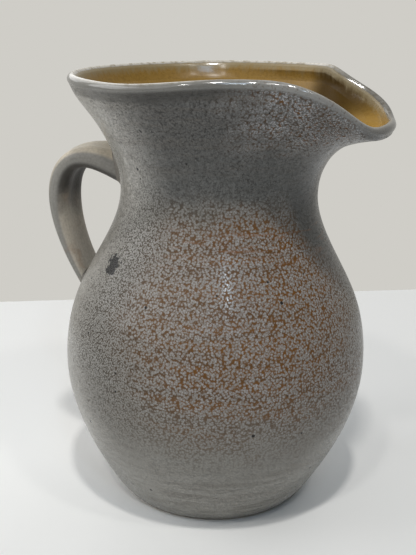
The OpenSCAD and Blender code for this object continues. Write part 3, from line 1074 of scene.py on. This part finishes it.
    # The specular level follows the piece's own values, its side and its height
    glazed = rise(0.3, 0.9, reach)
    gloss = sub(add(0.32, mul(lip, 0.4)), mul(glazed, 0.2))
    finish.set("Specular IOR Level", add(gloss, mul(glazed, smooth_run, 0.8)))
    bumpy = mul(add(mul(contrast, 0.8), 0.2), rest(mul(lip, 0.92)))
    height = add(mul(peel["Height"], bumpy), mul(band, 0.2))
    height = mul(height, rest(mul(ambered, calm_wall)))
    finish.bump(height, 0.32)
    return finish.material


def strap_finish():
    """Thin salt glaze on the handle: grey edges, tan on top, a brown flush lower down and inside, and an
    inner face painted dark as shade higher up and pale as light lower down.
    """
    finish = Finish("salt_glaze_on_strap", IOR=1.5)
    bench = finish.bench
    add, sub, mul, rest = bench.add, bench.sub, bench.mul, bench.rest
    rise, tint, over = bench.rise, bench.tint, bench.over
    along, deep, across = (finish.value(name) for name in ("along", "deep", "across"))
    peel = finish.group(PEEL, Beads_per_metre=STRAP_BEADS)
    specks = finish.group(SPECKS, Cells_per_metre=150.0, Filled_share=0.3, Largest=0.07)["Mask"]
    patch = finish.noise(75.0, 3.0, 0.6)
    # Fine lines run the length of the strap, as wet fingers leave them
    lane = bench.join(mul(along, 2.2), mul(across, 5.0), mul(deep, 3.0))
    streak = bench.noise(lane, 2.4, 4.0, 0.6)
    top = mul(rise(0.35, 0.6, mul(deep, -1.0)), rest(rise(0.3, 0.62, along)))
    inner = rise(0.15, 0.5, deep)
    low = rise(0.5, 0.72, add(along, mul(sub(patch, 0.5), 0.25)))
    colour = tint(streak, shade(142, 140, 134), shade(122, 119, 112))
    colour = tint(mul(top, 0.9), colour, tint(streak, shade(218, 207, 186), shade(184, 172, 152)))
    # Inner face: painted shade higher up, painted light lower down
    shaded_inner_paint = tint(streak, shade(75, 72, 67), shade(54, 51, 47))
    lit_inner_paint = tint(streak, shade(206, 198, 184), shade(176, 165, 148))
    colour = tint(mul(inner, 0.9), colour, tint(low, shaded_inner_paint, lit_inner_paint))
    rusted = mul(low, rise(0.55, 0.7, patch), 0.35)
    colour = over(colour, (134, 96, 62), rusted)
    colour = over(colour, (70, 58, 46), rest(peel["Bead"]), 0.14)
    colour = over(colour, (44, 36, 30), specks)
    finish.set("Base Color", colour)
    finish.set("Roughness", add(0.42, mul(patch, 0.2)))
    height = add(mul(peel["Height"], 0.4), mul(streak, 0.9))
    finish.bump(height, 0.45)
    return finish.material


def joint_finish():
    """Wiped slip round the handle's roots, under the same thin salt glaze."""
    finish = Finish("salt_glaze_on_joints", IOR=1.5)
    bench = finish.bench
    peel = finish.group(PEEL, Beads_per_metre=STRAP_BEADS)
    patch = finish.noise(110.0, 3.0, 0.6)
    colour = bench.tint(patch, shade(100, 94, 86), shade(126, 122, 114))
    colour = bench.over(colour, (66, 56, 46), bench.rest(peel["Bead"]), 0.18)
    finish.set("Base Color", colour)
    finish.set("Roughness", bench.add(0.44, bench.mul(patch, 0.18)))
    finish.bump(bench.add(bench.mul(peel["Height"], 0.5), patch), 0.45)
    return finish.material


def liner_finish():
    """Amber glass inside, golden where it thins over the spout, streaked just below the rim."""
    finish = Finish("amber_glass_inside", IOR=1.52)
    bench = finish.bench
    add, sub, mul, rest = bench.add, bench.sub, bench.mul, bench.rest
    amber, _, folds = finish.amber()
    finish.set("Base Color", amber["Colour"])
    smooth_run, calm_wall = finish.smooth_run()
    rough = add(0.22, mul(amber["Mottle"], 0.12))
    finish.set("Roughness", sub(rough, mul(smooth_run, 0.12)))
    gloss = add(0.2, mul(smooth_run, 0.8))
    finish.set("Specular IOR Level", mul(gloss, rest(mul(folds, 0.8))))
    height = add(mul(amber["Runs"], 0.5), mul(amber["Mottle"], 0.2))
    finish.bump(mul(height, rest(calm_wall)), 0.3)
    return finish.material


def turned_piece(name, rows, tree, columns, ring_depth, finish):
    """A turned and pulled piece from its half section."""
    points = np.column_stack([rows[:, 0], np.zeros(len(rows)), rows[:, 1]]) * MM
    values = {label: rows[:, 2 + i] for i, label in enumerate(SECTION_VALUES)}
    settings = {"Columns": columns, "Rows": len(rows), "Ring depth": ring_depth * MM, "Finish": finish}
    piece = grown(name, point_mesh(name + "_section", points, values), tree, settings)
    return face_outwards(piece)


# Columns round each turned piece
BODY_COLUMNS = 256
LINER_COLUMNS = 240

throwing = throwing_tree()
glaze = stoneware_finish()
body = turned_piece("thrown_body_dressed", body_section(), throwing, BODY_COLUMNS, RING_DEPTH, glaze)
amber = liner_finish()
liner = turned_piece("liner_glaze_dressed", liner_section(), throwing, LINER_COLUMNS, 0.0, amber)

strap_across, strap_deep = strap_section()
strap_start = seat(strap_across, strap_deep, ROOT_SPAN, SEAT_DEPTH)
strap_end = seat(strap_across, strap_deep, FOOT_SPAN, SEAT_DEPTH)
means = [np.full(STRAP_POINTS, ends.mean()) for ends in (strap_start, strap_end)]
strap_values = dict(zip(STRAP_VALUES, (strap_across, strap_deep, strap_start, strap_end, *means)))
line = [tuple(p * MM) for p in HANDLE_LINE]
strap_settings = {"Points": STRAP_POINTS, "Rows": STRAP_ROWS, "Finish": strap_finish()}
strap_settings.update(zip(LINE_CORNERS, line))
strap_mesh = point_mesh("strap_section", np.zeros((STRAP_POINTS, 3)), strap_values)
handle = face_outwards(grown("handle_dressed", strap_mesh, strap_tree(), strap_settings))

# Reach of each joint's fillet along the strap and over the pot
UPPER_REACH = (4.0, 3.6)
LOWER_REACH = (3.0, 3.0)

slip = joint_finish()
strap = (strap_across, strap_deep)
upper_joint = luted_joint("upper_joint_dressed", *strap, ROOT_SPAN, *UPPER_REACH, slip)
lower_joint = luted_joint("lower_joint_dressed", *strap, FOOT_SPAN, *LOWER_REACH, slip)

DRESSED = (
    (body, "thrown_body", "salt_glazed_stoneware"),
    (liner, "liner_glaze", "amber_liner"),
    (handle, "handle", "salt_glazed_strap"),
    (upper_joint, "upper_handle_joint", "salt_glazed_joint"),
    (lower_joint, "lower_handle_joint", "salt_glazed_joint"),
)
for piece, node, slot in DRESSED:
    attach(piece, "root")
    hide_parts(node)


# Stage: a plain pale floor with its far edge behind the pot, and a pale room
VIEW_TURN = math.radians(18.1)


def pale_floor():
    half, front, back_left, back_right = 0.9, 1.0, 0.167, 0.485
    corners = [(-half, -front, 0), (half, -front, 0), (half, back_right, 0), (-half, back_left, 0)]
    mesh = bpy.data.meshes.new("floor")
    mesh.from_pydata(corners, [], [tuple(range(len(corners)))])
    mesh.transform(Matrix.Rotation(VIEW_TURN, 4, "Z"))
    material = bpy.data.materials.new("pale_floor")
    material.use_nodes = True
    shader = next(n for n in material.node_tree.nodes if n.type == "BSDF_PRINCIPLED")
    shader.inputs["Base Color"].default_value = shade(238, 238, 236)
    shader.inputs["Roughness"].default_value = 0.55
    mesh.materials.append(material)
    floor = placed("floor", mesh)


def pale_room():
    world = bpy.data.worlds.new("pale_room")
    bpy.context.scene.world = world
    world.use_nodes = True
    bench = Bench(world.node_tree)
    world.node_tree.nodes.clear()
    ray = bench.put("ShaderNodeLightPath").outputs
    seen = bench.larger(ray["Is Camera Ray"], ray["Is Transmission Ray"])
    seen = bench.larger(seen, bench.mul(ray["Is Glossy Ray"], 0.8))
    fill = bench.put("ShaderNodeBackground", {"Color": (0.92, 0.97, 1.0, 1), "Strength": 0.05})
    backdrop = bench.put("ShaderNodeBackground", {"Color": shade(207, 205, 199), "Strength": 1.0})
    mix = bench.put("ShaderNodeMixShader", {0: seen, 1: fill.outputs[0], 2: backdrop.outputs[0]})
    bench.put("ShaderNodeOutputWorld", {"Surface": mix.outputs[0]})


# Lamps round the pot: azimuth from the camera, elevation, width, watts, colour, seen in reflections
LAMP_DISTANCE = 1.6
POT_MIDDLE = Vector((0, 0, 0.12))
WARM = (1.0, 0.98, 0.95)
DAYLIGHT = (0.98, 0.99, 1.0)
LAMPS = {
    "ceiling_front": (0, 66, 0.1, 9.0, WARM, True),
    "ceiling_left": (-22, 53, 0.1, 2.8, WARM, True),
    "ceiling_right": (42, 58, 0.12, 2.2, WARM, True),
    "window_front": (10, 38, 0.06, 1.6, (0.72, 0.86, 1.0), True),
    "window_upper": (12, 48, 0.36, 1.2, (0.45, 0.7, 1.0), True),
    "room_left": (-90, 30, 1.2, 10.0, DAYLIGHT, True),
    "room_front": (-45, 30, 1.2, 3.6, (1.0, 1.0, 1.0), True),
    "room_behind_left": (-150, 30, 1.2, 4.5, DAYLIGHT, True),
    "room_behind_right": (150, 30, 1.2, 7.0, DAYLIGHT, False),
}


def soft_lamp(name, azimuth, elevation, size, power, colour, mirrored):
    """A square soft lamp that points at the pot."""
    data = bpy.data.lights.new(name, "AREA")
    data.size = size
    data.energy = power
    data.color = colour
    lamp = placed(name, data)
    lamp.visible_glossy = mirrored
    turn = math.radians(azimuth)
    tilt = math.radians(elevation)
    way = Vector((math.sin(turn) * math.cos(tilt), -math.cos(turn) * math.cos(tilt), math.sin(tilt)))
    way.rotate(Matrix.Rotation(VIEW_TURN, 3, "Z"))
    lamp.location = POT_MIDDLE + way * LAMP_DISTANCE
    lamp.rotation_mode = "QUATERNION"
    lamp.rotation_quaternion = way.to_track_quat("Z", "Y")


# Focal length and width of the photograph, in pixels
FOCAL_PIXELS = 950
PHOTO_WIDTH = 416


def photo_camera():
    """The camera at the photograph's place: 0.48 m away, 0.27 m up, looking down a little."""
    distance, height = 0.48454, 0.26719
    pitch, yaw, roll = (math.radians(a) for a in (17.179, -0.567, 1.275))
    right = Vector((math.cos(yaw), -math.sin(yaw), 0))
    ahead = Vector((math.sin(yaw), math.cos(yaw), 0))
    top = Vector((0, 0, 1))
    look = ahead * math.cos(pitch) - top * math.sin(pitch)
    up = ahead * math.sin(pitch) + top * math.cos(pitch)
    side = right * math.cos(roll) + up * math.sin(roll)
    lift = up * math.cos(roll) - right * math.sin(roll)
    data = bpy.data.cameras.new("camera")
    data.sensor_fit = "HORIZONTAL"
    data.lens = FOCAL_PIXELS / PHOTO_WIDTH * data.sensor_width
    data.clip_start = 0.01
    camera = placed("camera", data)
    place = Matrix((side, lift, -look)).transposed().to_4x4()
    place.translation = Vector((0, -distance, height))
    camera.matrix_world = Matrix.Rotation(VIEW_TURN, 4, "Z") @ place
    bpy.context.scene.camera = camera


pale_floor()
pale_room()
for name, values in LAMPS.items():
    soft_lamp(name, *values)
photo_camera()
bpy.context.scene.view_settings.view_transform = "Standard"
